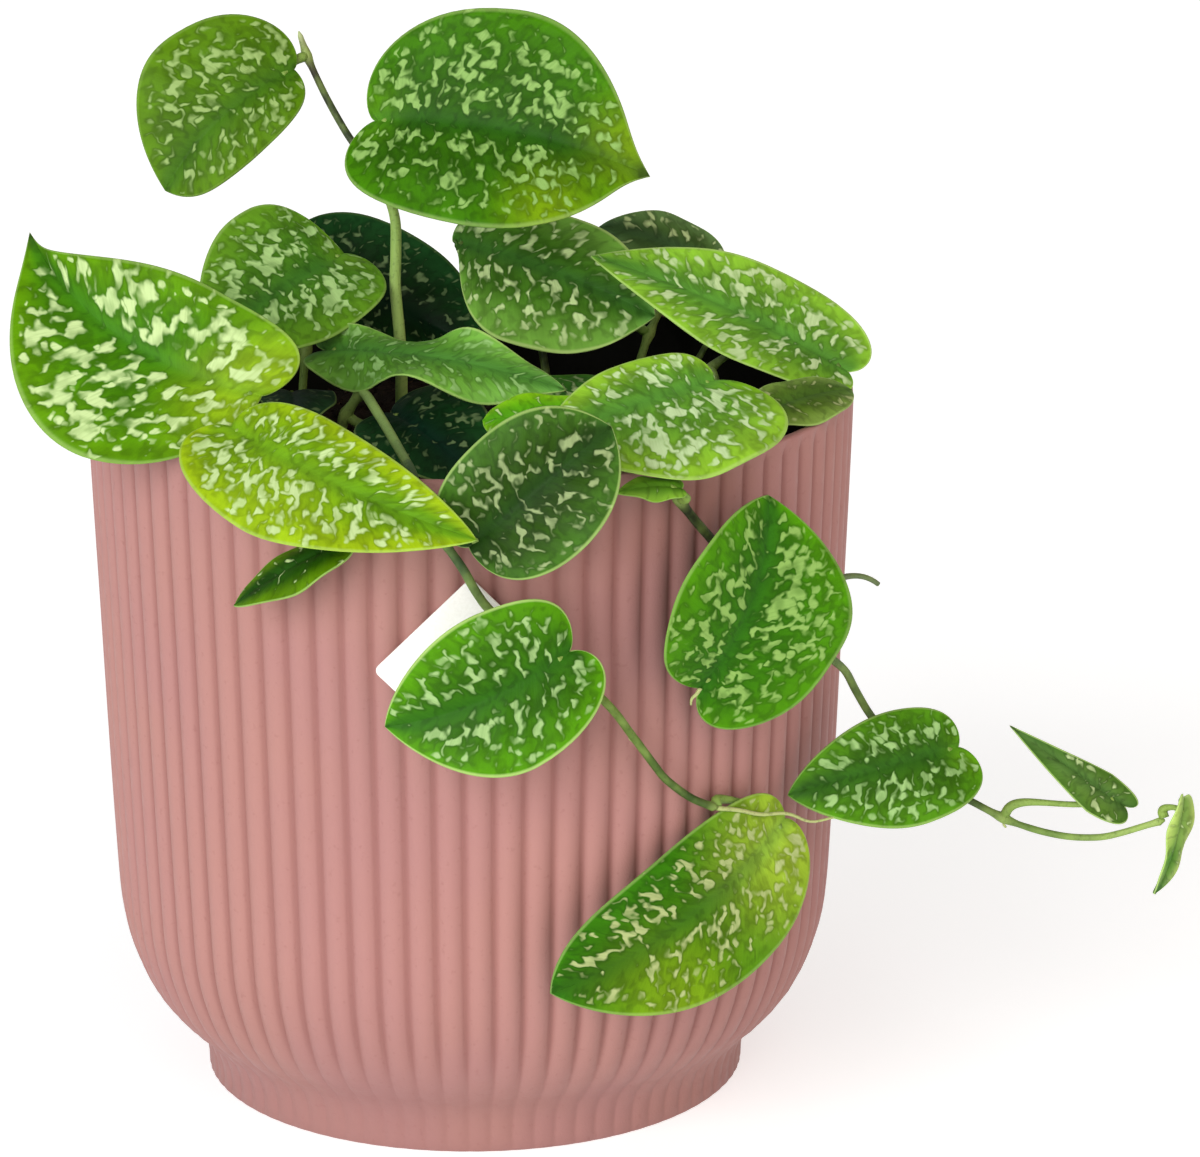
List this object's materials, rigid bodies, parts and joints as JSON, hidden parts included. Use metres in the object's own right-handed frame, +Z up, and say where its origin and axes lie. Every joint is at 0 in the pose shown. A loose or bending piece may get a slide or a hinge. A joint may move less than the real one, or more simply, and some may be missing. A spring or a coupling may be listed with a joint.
{
  "type": "potted plant",
  "caption": "Trailing houseplant with heart-shaped, silver-spotted leaves, growing in a round ribbed pot with a blank square card on its front.",
  "frame": {"origin": "middle of the flat underside of the pot, on the surface that it stands on", "axes": "+Z up the pot's axis, -Y toward the side with the card, +X to the right when the card faces the viewer"},
  "size_m": [0.2112, 0.1847, 0.1974],
  "materials": {
    "pot": "matte",
    "soil": "rough",
    "label": "matte",
    "stem": "satin",
    "leaf": "satin"
  },
  "bodies": {
    "root": {"pot": "pot", "soil": "soil", "label": "label", "stem_1": "stem", "stem_2": "stem", "stem_3": "stem", "stem_4": "stem", "stem_5": "stem", "stem_6": "stem", "stem_7": "stem", "stem_8": "stem", "stem_9": "stem", "leaf_01": "leaf", "leaf_02": "leaf", "leaf_03": "leaf", "leaf_04": "leaf", "leaf_05": "leaf", "leaf_06": "leaf", "leaf_07": "leaf", "leaf_08": "leaf", "leaf_09": "leaf", "leaf_10": "leaf", "leaf_11": "leaf", "leaf_12": "leaf", "leaf_13": "leaf", "leaf_14": "leaf", "leaf_15": "leaf", "leaf_16": "leaf", "leaf_17": "leaf", "leaf_18": "leaf", "leaf_19": "leaf", "leaf_20": "leaf", "leaf_21": "leaf", "leaf_22": "leaf", "leaf_23": "leaf", "leaf_24": "leaf", "leaf_25": "leaf", "leaf_26": "leaf", "leaf_27": "leaf", "leaf_28": "leaf", "leaf_29": "leaf", "leaf_30": "leaf", "leaf_31": "leaf", "leaf_32": "leaf", "leaf_33": "leaf", "leaf_34": "leaf", "leaf_35": "leaf", "leaf_36": "leaf", "leaf_37": "leaf", "petiole_bare": "stem"}
  },
  "joints": []
}
